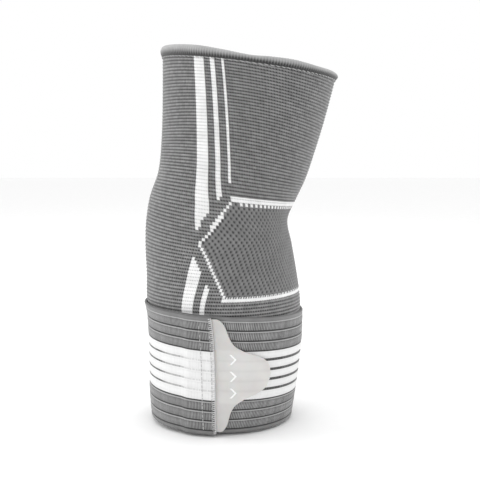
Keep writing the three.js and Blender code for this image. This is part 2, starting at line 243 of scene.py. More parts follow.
def shell(name, place, size, sub, wall, relief, materials, paint, lining, mask=None, closed=True, flat=None,
          painted_shade=None):
    """A closed cloth shell on a grid of cells. place(u, v, offset) gives points, u and v counted in cells.
    size is (columns, rows). sub holds the shares of a cell at which its outer face has points, across and
    up. relief is how far each outer point stands out, paint each outer face's material number."""
    columns, rows = size
    sub_u, sub_v = (np.asarray(s, float) for s in sub)
    nu, nv = len(sub_u), len(sub_v)
    mask = np.ones((rows, columns), bool) if mask is None else mask
    fine_across = columns * nu + (not closed)
    coarse_across = columns + (not closed)
    a, b = np.arange(columns * nu + 1), np.arange(rows * nv + 1)
    u = a // nu + np.append(sub_u, 0)[a % nu] * (a < columns * nu)
    v = b // nv + np.append(sub_v, 0)[b % nv] * (b < rows * nv)
    outer = place(u[None, :fine_across], v[:, None], relief[:, :fine_across])
    inner = place(np.arange(coarse_across)[None, :], np.arange(rows + 1)[:, None], -wall)
    points = np.concatenate([outer.reshape(-1, 3), inner.reshape(-1, 3)])
    base = outer.shape[0] * outer.shape[1]

    def out(j, i):
        return j * fine_across + i % fine_across

    def lin(j, i):
        return base + j * coarse_across + i % coarse_across

    def flat_uv(uu, vv):
        return flat(uu, vv) if flat else np.stack([uu * WALE, vv * COURSE], -1)

    fine = np.repeat(np.repeat(mask, nv, 0), nu, 1)
    fb, fa = np.nonzero(fine)
    faces = [np.stack([out(fb, fa), out(fb + 1, fa), out(fb + 1, fa + 1), out(fb, fa + 1)], -1)]
    outer_loop = ((fb, fa), (fb + 1, fa), (fb + 1, fa + 1), (fb, fa + 1))
    uvs = [np.stack([flat_uv(u[x], v[y]) for y, x in outer_loop], 1)]
    shades = rng.random((rows, columns))
    tones = [shades[fb // nv, fa // nu]]
    paints = [np.broadcast_to(paint, fine.shape)[fb, fa]]
    j, i = np.nonzero(mask)
    faces.append(np.stack([lin(j, i), lin(j, i + 1), lin(j + 1, i + 1), lin(j + 1, i)], -1))
    inner_loop = ((j, i), (j, i + 1), (j + 1, i + 1), (j + 1, i))
    uvs.append(np.stack([flat_uv(x, y) for y, x in inner_loop], 1))
    tones.append(shades[j, i])
    paints.append(np.full(len(j), lining))

    def neighbour(dj, di):
        jj, ii = j + dj, i + di
        inside = (jj >= 0) & (jj < rows)
        if closed:
            ii = ii % columns
        else:
            inside &= (ii >= 0) & (ii < columns)
        return inside & mask[np.clip(jj, 0, rows - 1), np.clip(ii, 0, columns - 1)]

    def side(dj, di, corners):
        at = ~neighbour(dj, di)
        if not at.any():
            return
        ring = np.stack(corners(j[at], i[at]), -1)
        faces.append(ring)
        uvs.append(np.repeat(flat_uv(i[at] + 0.5, j[at] + 0.5)[:, None], ring.shape[1], 1))
        tones.append(shades[j[at], i[at]])
        paints.append(np.broadcast_to(paint, fine.shape)[j[at] * nv, i[at] * nu])

    def across_row(y, x):
        return [out(y, x * nu + k) for k in range(nu + 1)]

    def up_column(y, x):
        return [out(y * nv + k, x) for k in range(nv + 1)]

    side(-1, 0, lambda y, x: [lin(y, x), *across_row(y * nv, x), lin(y, x + 1)])
    side(1, 0, lambda y, x: [lin(y + 1, x), lin(y + 1, x + 1), *across_row((y + 1) * nv, x)[::-1]])
    side(0, -1, lambda y, x: [lin(y, x), lin(y + 1, x), *up_column(y, x * nu)[::-1]])
    side(0, 1, lambda y, x: [*up_column(y, (x + 1) * nu), lin(y + 1, x + 1), lin(y, x + 1)])
    # Painted shade: the deeper a point of the outer face lies, the darker it is painted, unless the shade is
    # given
    deep = np.clip((RECESS_FROM - relief) / RECESS_SPAN, 0, 1) if painted_shade is None else painted_shade
    painted_shade = np.concatenate([deep[:, :fine_across].ravel(), np.full(len(points) - base, LINING_PAINTED_SHADE)])
    return build(name, points, faces, materials, paints, uvs, painted_shade, tones)


def ring(name, profile, columns, material, relief=None, level_wave=None, dark=0.0, squash=None):
    """A hoop: a closed outline of offsets and heights swept round the sleeve. relief(column) moves it out,
    level_wave(turn) moves it up, squash(turn) scales its height over the hem. dark is how much painted shade
    its foot gets."""
    count = len(profile)
    turn = np.arange(columns) * 360 / columns
    out = np.zeros(columns) if relief is None else relief(np.arange(columns))
    centre = profile.mean(0)
    away = profile - centre
    away = away / np.linalg.norm(away, axis=1)[:, None]
    offset = profile[None, :, 0] + out[:, None] * away[None, :, 0]
    level = profile[None, :, 1] + out[:, None] * away[None, :, 1]
    if level_wave is not None:
        level = level + level_wave(turn)[:, None]
    if squash is not None:
        over = np.maximum(level - UPPER_ARM_TOP, 0)
        level = level - over * (1 - squash(turn)[:, None])
    points = on_sleeve(turn[:, None], level, offset).reshape(-1, 3)
    i, p = (g.ravel() for g in np.meshgrid(np.arange(columns), np.arange(count), indexing="ij"))

    def at(ii, pp):
        return (ii % columns) * count + pp % count

    faces = np.stack([at(i, p), at(i, p + 1), at(i + 1, p + 1), at(i + 1, p)], -1)
    uv = np.stack([np.stack([ii * AROUND / columns, pp], -1)
                   for ii, pp in ((i, p), (i, p + 1), (i + 1, p + 1), (i + 1, p))], 1)
    low, high = profile[:, 1].min(), profile[:, 1].max()
    depth = 1 - smooth((profile[:, 1] - low) / (high - low) / SHADED_SHARE)
    # Painted shade: darker between the ribs, and darker towards the hoop's foot
    painted_shade = np.clip((0.05 - out * 1.5)[:, None] + dark * depth[None, :], 0, 1).ravel()
    tones = [rng.random(len(faces))]
    return build(name, points, [faces], [material], [np.zeros(len(faces))], [uv], painted_shade, tones)


def curve_through(points, steps):
    """Points along a Catmull-Rom curve through the given ones."""
    points = np.asarray(points, float)
    padded = np.vstack([2 * points[0] - points[1], points, 2 * points[-1] - points[-2]])
    t = np.linspace(0, len(points) - 1, steps)
    k = np.minimum(t.astype(int), len(points) - 2)
    s = (t - k)[:, None]
    p0, p1, p2, p3 = padded[k], padded[k + 1], padded[k + 2], padded[k + 3]
    return 0.5 * (2 * p1 + (p2 - p0) * s + (2 * p0 - 5 * p1 + 4 * p2 - p3) * s ** 2
                  + (3 * p1 - p0 - 3 * p2 + p3) * s ** 3)


def folded_profile(path, thickness, steps=20):
    """The closed outline of a cloth of that thickness along a path."""
    line = curve_through(path, steps)
    along = np.gradient(line, axis=0)
    along /= np.linalg.norm(along, axis=1)[:, None]
    side = np.stack([-along[:, 1], along[:, 0]], -1) * thickness / 2
    bulge = thickness * 0.35  # of its two rounded ends
    start, end = line[0] - along[0] * bulge, line[-1] + along[-1] * bulge
    outline = np.vstack([line + side, end, (line - side)[::-1], start])
    offset, level = outline.T
    area = np.sum(offset * np.roll(level, -1) - np.roll(offset, -1) * level)
    return outline if area > 0 else outline[::-1]


def capsules(name, ends, radius, material):
    """One piece of many short threads, each from one end point to the other, narrower at its ends."""
    sides = 6
    first, last = (np.asarray(e, float) for e in ends)
    along = last - first
    length = np.linalg.norm(along, axis=1)[:, None]
    along = along / length
    up = np.tile([0.0, 0.0, 1.0], (len(first), 1))
    steep = np.abs(along[:, 2]) > 0.9
    up[steep] = [1.0, 0.0, 0.0]
    wide = np.cross(along, up)
    wide /= np.linalg.norm(wide, axis=1)[:, None]
    tall = np.cross(wide, along)
    shares = np.array([0.0, 0.12, 0.35, 0.65, 0.88, 1.0])
    widths = np.array([0.35, 0.8, 1.0, 1.0, 0.8, 0.35])
    turn = np.arange(sides) * 2 * math.pi / sides
    rows = []
    for share, width in zip(shares, widths):
        middle = first + along * length * share
        circle = wide[:, None] * np.cos(turn)[None, :, None] + tall[:, None] * np.sin(turn)[None, :, None]
        rows.append(middle[:, None] + radius * width * circle)
    points = np.stack(rows, 1)
    each = len(shares) * sides
    base = np.arange(len(first)) * each
    k, s = (g.ravel() for g in np.meshgrid(np.arange(len(shares) - 1), np.arange(sides), indexing="ij"))
    quad = np.stack([k * sides + s, k * sides + (s + 1) % sides, (k + 1) * sides + (s + 1) % sides,
                     (k + 1) * sides + s], -1)
    quads = (base[:, None, None] + quad[None]).reshape(-1, 4)
    cap = np.stack([np.arange(sides)[::-1], (len(shares) - 1) * sides + np.arange(sides)])
    caps = (base[:, None, None] + cap[None]).reshape(-1, sides)
    return build(name, points.reshape(-1, 3), [quads, caps], [material],
                 [np.zeros(len(quads)), np.zeros(len(caps))])


# ---- Materials ----

def give(node, values):
    """Sets inputs of a node by name."""
    for name, value in values.items():
        node.inputs[name].default_value = value


def new_material(name, roughness, sheen=0.0):
    material = bpy.data.materials.new(name)
    material.use_nodes = True
    tree = material.node_tree
    shader = tree.nodes["Principled BSDF"]
    give(shader, {"Roughness": roughness, "Sheen Weight": sheen, "Sheen Roughness": 0.5,
                  "Specular IOR Level": 0.2})
    return material, tree, shader


def cloth_noise(tree, scale, stretch=(1, 1, 1), detail=2.0, coordinates="UV"):
    """A noise texture in metres, on the cloth's own flat coordinates or on the object's."""
    if coordinates == "UV":
        place = tree.nodes.new("ShaderNodeUVMap")
        place.uv_map = "cloth"
        source = place.outputs["UV"]
    else:
        place = tree.nodes.new("ShaderNodeTexCoord")
        source = place.outputs["Object"]
    mapping = tree.nodes.new("ShaderNodeMapping")
    give(mapping, {"Scale": [scale * s for s in stretch]})
    noise = tree.nodes.new("ShaderNodeTexNoise")
    give(noise, {"Scale": 1.0, "Detail": detail})
    tree.links.new(source, mapping.inputs["Vector"])
    tree.links.new(mapping.outputs["Vector"], noise.inputs["Vector"])
    return noise.outputs["Fac"]


def ramp(tree, value, low, high, start=0.0, end=1.0):
    """A colour from low to high as the value goes from start to end."""
    node = tree.nodes.new("ShaderNodeValToRGB")
    node.color_ramp.elements[0].position = start
    node.color_ramp.elements[0].color = (*low, 1)
    node.color_ramp.elements[1].position = end
    node.color_ramp.elements[1].color = (*high, 1)
    tree.links.new(value, node.inputs["Fac"])
    return node.outputs["Color"]


def times(tree, first, second):
    node = tree.nodes.new("ShaderNodeMix")
    node.data_type = "RGBA"
    node.blend_type = "MULTIPLY"
    give(node, {"Factor": 1.0})
    tree.links.new(first, node.inputs["A"])
    tree.links.new(second, node.inputs["B"])
    return node.outputs["Result"]


def bump(tree, shader, value, depth, strength):
    node = tree.nodes.new("ShaderNodeBump")
    give(node, {"Strength": strength, "Distance": depth})
    tree.links.new(value, node.inputs["Height"])
    tree.links.new(node.outputs["Normal"], shader.inputs["Normal"])


def grey(value):
    return (value, value, value)


def yarn_material(name, light, dark, roughness=0.9, variation=0.16, blotches=0.14):
    """Knitted or woven yarn: painted shade down between its stitches, darker the deeper they lie, each
    stitch a little lighter or darker than the next, with the fibres' fine streaks."""
    material, tree, shader = new_material(name, roughness, 0.25)
    depth = tree.nodes.new("ShaderNodeAttribute")
    depth.attribute_name = "painted_shade"
    shade = tree.nodes.new("ShaderNodeAttribute")
    shade.attribute_name = "tone"
    # Painted shade: the colour goes from light to dark as the painted shade attribute grows
    colour = ramp(tree, depth.outputs["Fac"], grey(light), grey(dark), 0.1, 0.85)
    stitch = ramp(tree, shade.outputs["Fac"], grey(1 - variation), grey(1.0))
    colour = times(tree, colour, stitch)
    patches = cloth_noise(tree, 120, detail=3.0)
    patches = ramp(tree, patches, grey(1 - blotches), grey(1.0), 0.3, 0.7)
    colour = times(tree, colour, patches)
    tree.links.new(colour, shader.inputs["Base Color"])
    fibres = cloth_noise(tree, 6500, (0.35, 1, 1), 3.0)
    bump(tree, shader, fibres, 0.00012, 0.6)
    return material


def thread_material(name, light):
    material, tree, shader = new_material(name, 0.75, 0.2)
    twist = cloth_noise(tree, 2600, coordinates="Object")
    tree.links.new(ramp(tree, twist, grey(light * 0.75), grey(light * 1.1), 0.35, 0.65),
              shader.inputs["Base Color"])
    bump(tree, shader, twist, 0.0001, 0.5)
    return material


def tab_material():
    """Moulded soft plastic, a little cloudy and a little see-through."""
    material, tree, shader = new_material("tab_plastic", 0.38)
    cloud = cloth_noise(tree, 90, detail=3.0, coordinates="Object")
    colour = ramp(tree, cloud, (0.69, 0.675, 0.66), (0.74, 0.73, 0.715), 0.35, 0.65)
    # Painted shade: the strap behind is painted on the tab as if seen through it, and the tail is painted in
    # shade under the strap's end
    behind = tree.nodes.new("ShaderNodeAttribute")
    behind.attribute_name = "painted_shade"
    shadow = ramp(tree, behind.outputs["Fac"], grey(1.0), grey(0.84))
    tree.links.new(times(tree, colour, shadow), shader.inputs["Base Color"])
    give(shader, {"Specular IOR Level": 0.4, "Subsurface Weight": 0.15, "Subsurface Scale": 0.002,
                  "Alpha": 0.88})
    grain = cloth_noise(tree, 2200, coordinates="Object")
    bump(tree, shader, grain, 0.00004, 0.5)
    return material


def plastic_material(name, low, high, roughness):
    material, tree, shader = new_material(name, roughness)
    cloud = cloth_noise(tree, 300, detail=3.0, coordinates="Object")
    tree.links.new(ramp(tree, cloud, low, high, 0.3, 0.7), shader.inputs["Base Color"])
    grain = cloth_noise(tree, 1500, coordinates="Object")
    bump(tree, shader, grain, 0.00004, 0.4)
    return material


def floor_material():
    material, tree, shader = new_material("studio_floor", 0.9)
    paper = cloth_noise(tree, 40, coordinates="Object")
    tree.links.new(ramp(tree, paper, grey(0.95), grey(0.97), 0.3, 0.7), shader.inputs["Base Color"])
    return material


GREY_YARN = yarn_material("grey_knit_yarn", 0.32, 0.018, variation=0.26)
WHITE_YARN = yarn_material("white_knit_yarn", 0.92, 0.45, variation=0.04)
MESH_YARN = yarn_material("mesh_knit_yarn", 0.235, 0.045, variation=0.12)
WELT_YARN = yarn_material("welt_knit_yarn", 0.44, 0.045, variation=0.1)
LINING_YARN = yarn_material("lining_yarn", 0.16, 0.06)
GREY_WEBBING = yarn_material("grey_webbing", 0.42, 0.05, roughness=0.8, variation=0.1)
SELVEDGE_WEBBING = yarn_material("webbing_selvedge", 0.22, 0.08, roughness=0.8, variation=0.05)
WHITE_WEBBING = yarn_material("white_webbing", 0.82, 0.05, roughness=0.8, variation=0.02, blotches=0.04)
LOOP_LINING = yarn_material("webbing_back", 0.22, 0.09)
GREY_THREAD = thread_material("grey_thread", 0.34)
PALE_THREAD = thread_material("pale_thread", 0.5)
SEAM_THREAD = thread_material("seam_thread", 0.72)
TAB = tab_material()
MARK = plastic_material("white_mark", grey(0.9), grey(0.95), 0.45)
HOOK = plastic_material("hook_plastic", (0.62, 0.61, 0.58), (0.72, 0.71, 0.68), 0.35)
SILICONE = plastic_material("silicone", (0.7, 0.69, 0.64), (0.8, 0.79, 0.75), 0.25)
RUBBER = plastic_material("rubber_cord", (0.62, 0.58, 0.5), (0.7, 0.67, 0.6), 0.5)


# ---- Knitted tube ----

# How far points of one stitch stand out, in millimetres: from its foot up, and from its left side across
RIB_STITCH = np.array([(-0.12, -0.90), (-0.02, -0.40), (0.12, 0.26), (-0.08, -0.02)])
WHITE_STITCH = np.array([(0.04, -0.48), (0.06, 0.04), (0.09, 0.16), (0.06, 0.06)])
MESH_HOLE = np.array([(-0.02, -0.2), (-0.1, -0.62), (-0.16, -0.74), (-0.08, -0.3)])
MESH_BRIDGE = np.array([(0.0, 0.0), (0.04, 0.15), (0.08, 0.2), (0.0, 0.1)])
GREY, WHITE, BORDER, MESH = range(4)


def on_cloth(wale, course, offset):
    """Points of the draped cloth, counted in wales and courses, with their heights."""
    wale, course = np.broadcast_arrays(np.asarray(wale, float), np.asarray(course, float))
    near = np.minimum(wale, WALES - wale)
    start = near * 180 / HALF_WALES
    start = np.where(wale > HALF_WALES, 360 - start, start)
    drape = through(COURSE_DRAPE, FOREARM_BOTTOM + course * COURSE)

    def height(angle):
        a = np.radians(angle)
        waves = sum(size * np.cos(k * a) for k, size in enumerate(drape))
        return FOREARM_BOTTOM + course * COURSE + waves

    drift = through(WALE_DRIFT, height(start))[0]
    a = np.radians(start)
    angle = start + drift * np.sin(a) * (1 + 0.55 * np.cos(a))
    level = height(angle)
    return on_sleeve(angle, level, offset), level


def nearest_stitch(x, z):
    """The wale and course nearest a point seen across the arm."""
    wale, course = np.meshgrid(np.arange(HALF_WALES), np.arange(COURSES))
    points, _ = on_cloth(wale, course, 0)
    k = np.argmin((points[..., 0] - x) ** 2 + (points[..., 2] - z) ** 2)
    return wale.ravel()[k], course.ravel()[k]


def zones():
    """Which knit each stitch is: grey rib, white stripe, the window's white border or its open mesh."""
    column, course = np.meshgrid(np.arange(WALES), np.arange(COURSES))
    wale = np.minimum(column, WALES - 1 - column) + 0.5
    _, level = on_cloth(column + 0.5, course + 0.5, 0)
    (top_wale, top), (point_wale, point), (foot_wale, foot) = (
        nearest_stitch(*corner) for corner in (WINDOW_TOP, WINDOW_POINT, WINDOW_FOOT))
    upper_step = (top_wale - point_wale) / (top - point)
    lower_step = (foot_wale - point_wale) / (foot - point)
    middle = course + 0.5 - point
    side = point_wale + middle * np.where(middle > 0, upper_step, lower_step)
    zone = np.full(wale.shape, GREY)
    for first, count, lowest in STRIPES:
        striped = (wale > first) & (wale < first + count) & (level > lowest)
        zone[striped & (wale > side + STRIPE_GAP)] = WHITE
    zone[(course >= foot) & (course < top) & (wale < side)] = MESH
    half_width = np.where(middle > 0, *BORDER_HALF_WIDTHS)
    zone[(course >= foot) & (course < top) & (np.abs(wale - side) < half_width)] = BORDER
    zone[(course >= top - 1) & (course <= top) & (wale < top_wale + 1)] = BORDER
    zone[(course == foot - 1) & (wale < foot_wale + 1)] = BORDER
    zone[(course == top - 2) & (wale < top_wale - 1) & (column % 2 == 0)] = BORDER
    nv, nu = RIB_STITCH.shape  # rows of faces to a stitch, and faces across it
    colour = np.repeat(np.repeat(zone, nv, 0), nu, 1)
    across = np.repeat(wale, nu, 1)
    colour[nv * top + 2:nv * (top + 1)][:, across[top] < top_wale + 1] = GREY
    teeth = (across[foot] < foot_wale) & (np.arange(nu * WALES) % nu == 0)
    colour[nv * foot:nv * foot + 2][:, teeth] = BORDER
    return zone, colour


def knit_relief(zone, first):
    """How far each point of the cloth stands out, from the stitches it belongs to."""
    rows, columns = zone.shape
    nv, nu = RIB_STITCH.shape
    b, a = np.arange(rows * nv + 1)[:, None], np.arange(columns * nu + 1)[None, :]
    row, column = np.minimum(b // nv, rows - 1), (a // nu) % columns
    kind = zone[row, column]
    open_here = (row + first + column) % 2 == 0
    stitch = np.stack([RIB_STITCH, WHITE_STITCH, WHITE_STITCH, MESH_BRIDGE, MESH_HOLE])
    pick = np.where((kind == MESH) & open_here, 4, kind)
    return stitch[pick, b % nv, a % nu]


def knit_piece(name, first, end, kinds):
    """The stitches of some kinds between two courses, as one piece of cloth."""
    zone, colour = zones()
    zone = zone[first:end]
    rows = end - first
    relief = knit_relief(zone, first)
    column, course = np.meshgrid(np.arange(WALES), np.arange(first, end))
    _, top = on_cloth(column + 0.5, course + 1, 0)
    mask = np.isin(zone, kinds) & (top < UPPER_ARM_TOP + HEM_ALLOWANCE)
    nv, nu = RIB_STITCH.shape
    paint = colour[first * nv:end * nv]
    sub = (np.arange(nu) / nu, np.arange(nv) / nv)
    materials = [GREY_YARN, WHITE_YARN, WHITE_YARN, MESH_YARN, LINING_YARN]

    def place(u, v, offset):
        return on_cloth(u, first + v, offset)[0]

    lining = len(materials) - 1
    return shell(name, place, (WALES, rows), sub, KNIT_WALL, relief, materials, paint, lining, mask)


def make_sleeve():
    elbow = (ELBOW_FIRST_COURSE, UPPER_FIRST_COURSE)
    upper_arm = (UPPER_FIRST_COURSE, COURSES)
    pieces = [
        (knit_piece("forearm_cloth", 0, ELBOW_FIRST_COURSE, (GREY, WHITE)), "forearm_knit", "grey_knit"),
        (knit_piece("elbow_cloth", *elbow, (GREY, WHITE)), "elbow_knit", "grey_knit"),
        (knit_piece("crease_window_cloth", *elbow, (MESH,)), "crease_window_mesh", "mesh_knit"),
        (knit_piece("crease_window_white_border", *elbow, (BORDER,)), "crease_window_border", "white_yarn"),
        (knit_piece("upper_arm_cloth", *upper_arm, (GREY, WHITE)), "upper_arm_knit", "grey_knit"),
    ]
    for piece, node, slot in pieces:
        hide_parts(node)
        bend_at_elbow(piece)


def bend_at_elbow(piece):
    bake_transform(piece)


# ---- Cuffs ----

# How high the soft roll of the upper cuff stands over the hem, at some angles
CUFF_HEIGHT = np.array([(0, 2.3), (22, 3.3), (42, 3.4), (62, 4.2), (78, 3.6), (90, 2.9), (108, 4.1),
                        (126, 5.2), (150, 5.2), (180, 5.1)])
CUFF_FULL_HEIGHT = 5.9
HEM_THREAD = 0.26  # radius
GRIP_LOW, GRIP_HIGH = 212, 221  # heights of the silicone band inside the upper cuff
GRIP_LINES = 3


def ribbed(column):
    """Upright ribs of a cuff, two points to a stitch."""
    return np.where(column % 2 == 0, -0.10, 0.10)


def cuff_share(turn):
    """How much of its full height the upper cuff has, at each angle."""
    near = np.minimum(turn, 360 - turn)
    return through(CUFF_HEIGHT, near)[0] / CUFF_FULL_HEIGHT


def make_upper_cuff():
    top = UPPER_ARM_TOP
    path = [(0.0, -0.9), (0.6, 0.6), (0.85, 2.2), (0.45, 4.0), (-0.5, 5.0), (-1.7, 5.35), (-3.0, 4.7),
            (-3.5, 3.2), (-3.5, 0.8), (-3.5, -1.3)]
    profile = folded_profile(np.array(path) + (0, top), 1.1, 24)
    welt = ring("upper_cuff", profile, 2 * WALES, WELT_YARN, ribbed, dark=0.9, squash=cuff_share)
    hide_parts("upper_cuff_welt")
    bend_at_elbow(welt)
    elastic = ring("upper_cuff_rubber", round_profile(-1.65, top + 1.5, 0.75, 12), 120, RUBBER,
                   squash=cuff_share)
    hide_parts("upper_cuff_elastic")
    bend_at_elbow(elastic)
    thread = hem_stitches("upper_hem_stitches", top - 1.6, 0.45, PALE_THREAD)
    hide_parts("upper_hem_thread")
    bend_at_elbow(thread)


def round_profile(offset, level, radius, sides):
    turn = np.arange(sides) * 2 * math.pi / sides
    return np.stack([offset + radius * np.cos(turn), level + radius * np.sin(turn)], -1)


def hem_stitches(name, level, offset, material):
    """A round of separate stitches, one to every two columns of the knit."""
    count = WALES // 2
    start = (np.arange(count) + 0.12) * 360 / count
    end = (np.arange(count) + 0.88) * 360 / count
    lean = 0.25
    first, last = on_sleeve(start, level - lean, offset), on_sleeve(end, level + lean, offset)
    piece = capsules(name, (first, last), HEM_THREAD, material)
    return piece


def make_grip():
    """Three wavy lines of silicone printed inside the upper cuff."""
    rings = []
    for k in range(GRIP_LINES):
        level = GRIP_LOW + (GRIP_HIGH - GRIP_LOW) * (k + 0.5) / GRIP_LINES
        profile = round_profile(-KNIT_WALL - 0.7, level, 0.4, 8)
        rings.append(ring("silicone_grip", profile, 2 * WALES, SILICONE,
                          level_wave=lambda turn: 0.9 * np.sin(np.radians(turn) * 36)))
    grip = join(rings)
    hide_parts("silicone_grip_ring")
    bend_at_elbow(grip)


def join(pieces):
    """The pieces as one, under the first one's name."""
    bpy.ops.object.select_all(action="DESELECT")
    for piece in pieces:
        piece.select_set(True)
    bpy.context.view_layer.objects.active = pieces[0]
    bpy.ops.object.join()
    return pieces[0]


def make_lower_cuff():
    path = [(-0.55, 5.7), (-0.55, 3.0), (-0.7, 1.4), (-2.2, 0.62), (-3.7, 1.4), (-3.85, 3.0), (-3.85, 7.2)]
    welt = ring("lower_cuff", folded_profile(path, 1.05), 2 * WALES, WELT_YARN, lambda c: 0.6 * ribbed(c))
    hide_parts("lower_cuff_welt")
    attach(welt, "forearm")
    elastic = ring("lower_cuff_rubber", round_profile(-2.2, 3.2, 0.75, 12), 120, RUBBER)
    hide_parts("lower_cuff_elastic")
    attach(elastic, "forearm")
    thread = hem_stitches("lower_hem_stitches", 8.6, -2.75, GREY_THREAD)
    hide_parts("lower_hem_thread")
    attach(thread, "forearm")


# ---- Strap ----

# Points up one band of the strap, as shares of its height, how far they stand out and how much painted shade
# they get: a sunk groove, whose height is given apart, then the ribs and a thin cord. The selvedges get
# painted shade along their rounded sides.
BAND_ROWS = np.array([0.0, 0.0, 0.04, 0.45, 0.78, 0.83, 0.88, 0.96])
BAND_RELIEF = np.array([-0.35, -0.35, 0.02, 0.12, 0.04, -0.06, 0.14, 0.10])
BAND_SHADE = np.array([1.0, 1.0, 0.25, 0.15, 0.25, 0.5, -0.2, -0.2])
SELVEDGE_RELIEF = np.array([-0.15, 0.0, 0.1, 0.16, 0.12, 0.06, 0.0, -0.1])
SELVEDGE_SHADE = np.array([0.6, 0.4, 0.3, 0.15, 0.1, 0.1, 0.25, 0.5])
EDGE_WEBBING, GREY_BAND, WHITE_BAND, BACK = range(4)
WHITE_BANDS = range(4, 9)  # counted from the lower selvedge
LEAN = 1.5  # degrees a rib of the strap leans over one band
GREY_GROOVE = 0.10  # share of a grey band that its groove takes
WHITE_RIBBING = 0.15  # how strong the ribs are on a white band
WHITE_SHADING = 0.2  # and how strong its painted shade is
RIB_WIDTH = 1.2
STRAP_MIDDLE = (STRAP_LOW + STRAP_HIGH) / 2


def band_edges():
    inner = np.linspace(STRAP_LOW + SELVEDGE, STRAP_HIGH - SELVEDGE, BANDS + 1)
    return np.concatenate([[STRAP_LOW], inner, [STRAP_HIGH]])


def strap_piece(name, angle_at, offset_at, bars, ribs, white_groove, lean, fade):
    """A stretch of the woven strap with upright ribs along its length. ribs holds, for the points across a
    rib, where they lie, how far they stand out and how much painted shade they get. white_groove(angle) is
    the share of a white band that its groove takes. fade(angle) is how much painted shade the grooves
    between white bands get."""
    edges = band_edges()
    groove = GREY_GROOVE
    rows = len(edges) - 1
    shares = BAND_ROWS + groove * (np.arange(len(BAND_ROWS)) > 0) * (BAND_ROWS < 0.5)
    nv, nu = len(shares), len(ribs[0])
    row = np.minimum(np.arange(rows * nv + 1) // nv, rows - 1)
    step = np.arange(rows * nv + 1) % nv
    column = np.arange(bars * nu + 1)
    strength = rng.uniform(0.6, 1.3, (rows + 1, bars + 1))[row[:, None], (column // nu)[None, :]]
    plain = (row == 0) | (row == rows - 1)
    is_white = np.isin(row, list(WHITE_BANDS))
    ribbed = np.where(plain, 0.0, np.where(is_white, WHITE_RIBBING, 1.0)) * (step > 1) * (step < 6)
    crown = np.where(plain, SELVEDGE_RELIEF[step], BAND_RELIEF[step])
    shade = np.where(plain, SELVEDGE_SHADE[step], BAND_SHADE[step])
    upper = row == rows - 1
    crown = np.where(upper, SELVEDGE_RELIEF[::-1][step], crown)
    shade = np.where(upper, SELVEDGE_SHADE[::-1][step], shade)
    crown[-1] = -0.2
    shade = np.where(is_white & (step > 1), WHITE_SHADING * shade, shade)
    relief = crown[:, None] + (ribbed[:, None] * strength) * np.asarray(ribs[1])[column % nu]
    shade = shade[:, None] + (ribbed[:, None] * strength) * np.asarray(ribs[2])[column % nu]
    # Painted shade in the grooves between white bands, a little uneven
    dark = fade(angle_at(column / nu / bars, STRAP_MIDDLE))
    between_white = is_white & (step <= 1) & (row > WHITE_BANDS[0])
    ragged = dark + rng.uniform(-0.12, 0.12, dark.shape)
    shade = np.where(between_white[:, None], ragged[None, :], shade)
    relief = np.where(between_white[:, None], relief * ragged[None, :].clip(0.3, 1), relief)
    kind = np.where(plain, EDGE_WEBBING, np.where(is_white, WHITE_BAND, GREY_BAND))[:-1]
    paint = np.repeat(kind[:, None], bars * nu, 1)

    def place(u, v, offset):
        row_here = np.floor(v)
        within = v - row_here
        plain_angle = angle_at(u / bars, STRAP_MIDDLE)
        wanted = np.where(np.isin(row_here, WHITE_BANDS[1:]), white_groove(plain_angle), groove)
        widened = np.where(within <= groove, within * wanted / groove,
                           wanted + (within - groove) * (1 - wanted) / (1 - groove))
        level = np.interp(row_here + widened, np.arange(rows + 1), edges)
        scallop = 0.25 * np.cos(2 * math.pi * u) * (np.abs(within - groove) < 0.001)
        share = u / bars
        slant = lean * (0.5 - within) * np.sin(math.pi * np.clip(share, 0, 1)) ** 0.2
        angle = angle_at(share, level)
        return on_strap(angle + slant, level + scallop, offset_at(angle) + WEBBING + offset)

    def flat(u, v):
        return np.stack([u * RIB_WIDTH, np.interp(v, np.arange(rows + 1), edges)], -1)

    materials = [SELVEDGE_WEBBING, GREY_WEBBING, WHITE_WEBBING, LOOP_LINING]
    return shell(name, place, (bars, rows), (ribs[0], shares), WEBBING, relief, materials, paint, BACK,
                 closed=False, flat=flat, painted_shade=np.clip(shade, 0, 1))


WIDE_RIBS = ((0.0, 0.35, 0.7), (-0.14, 0.08, 0.04), (0.8, -0.15, 0.25))
NARROW_RIBS = ((0.0, 0.35, 0.7), (-0.14, 0.08, 0.04), (0.95, -0.15, 0.35))


def wrap_angle(share, level):
    """The angle on the strap round the forearm at a share of its length, from fold to sewn start."""
    first = STRAP_FOLD - 360 + FOLD_GAP
    return first + (STRAP_START - first) * share


def free_angle(share, level):
    """The same on the free end, from its cut edge to the fold."""
    edge = edge_angle(level)
    return edge + (STRAP_FOLD - FOLD_GAP - edge) * share


def wrap_groove(angle):
    return np.full(np.shape(angle), 0.24)


def free_groove(angle):
    """The grooves of the white bands narrow away from the fold."""
    return 0.14 + 0.10 * smooth((angle - 155) / 25)


def wrap_fade(angle):
    return np.full(np.shape(angle), 0.82)


def free_fade(angle):
    """The painted shade in the grooves between white bands is dark near the fold and fades towards the
    strap's end.
    """
    return 0.22 + 0.30 * smooth((angle - 112) / 12) + 0.30 * smooth((angle - 132) / 10)


WRAP_RIB_COUNT = 236
FREE_RIB_COUNT = 84


def make_strap():
    wrap = strap_piece("strap_round_forearm", wrap_angle, lambda angle: CLEARANCE, WRAP_RIB_COUNT,
                       WIDE_RIBS, wrap_groove, LEAN, wrap_fade)
    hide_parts("strap_wrap")
    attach(wrap, "forearm")
    free = strap_piece("strap_loose_end", free_angle, free_end_offset, FREE_RIB_COUNT, NARROW_RIBS,
                       free_groove, 0.0, free_fade)
    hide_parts("strap_free_end")
    fold = on_sleeve(STRAP_FOLD, STRAP_MIDDLE, WEBBING) * MM
    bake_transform(free)


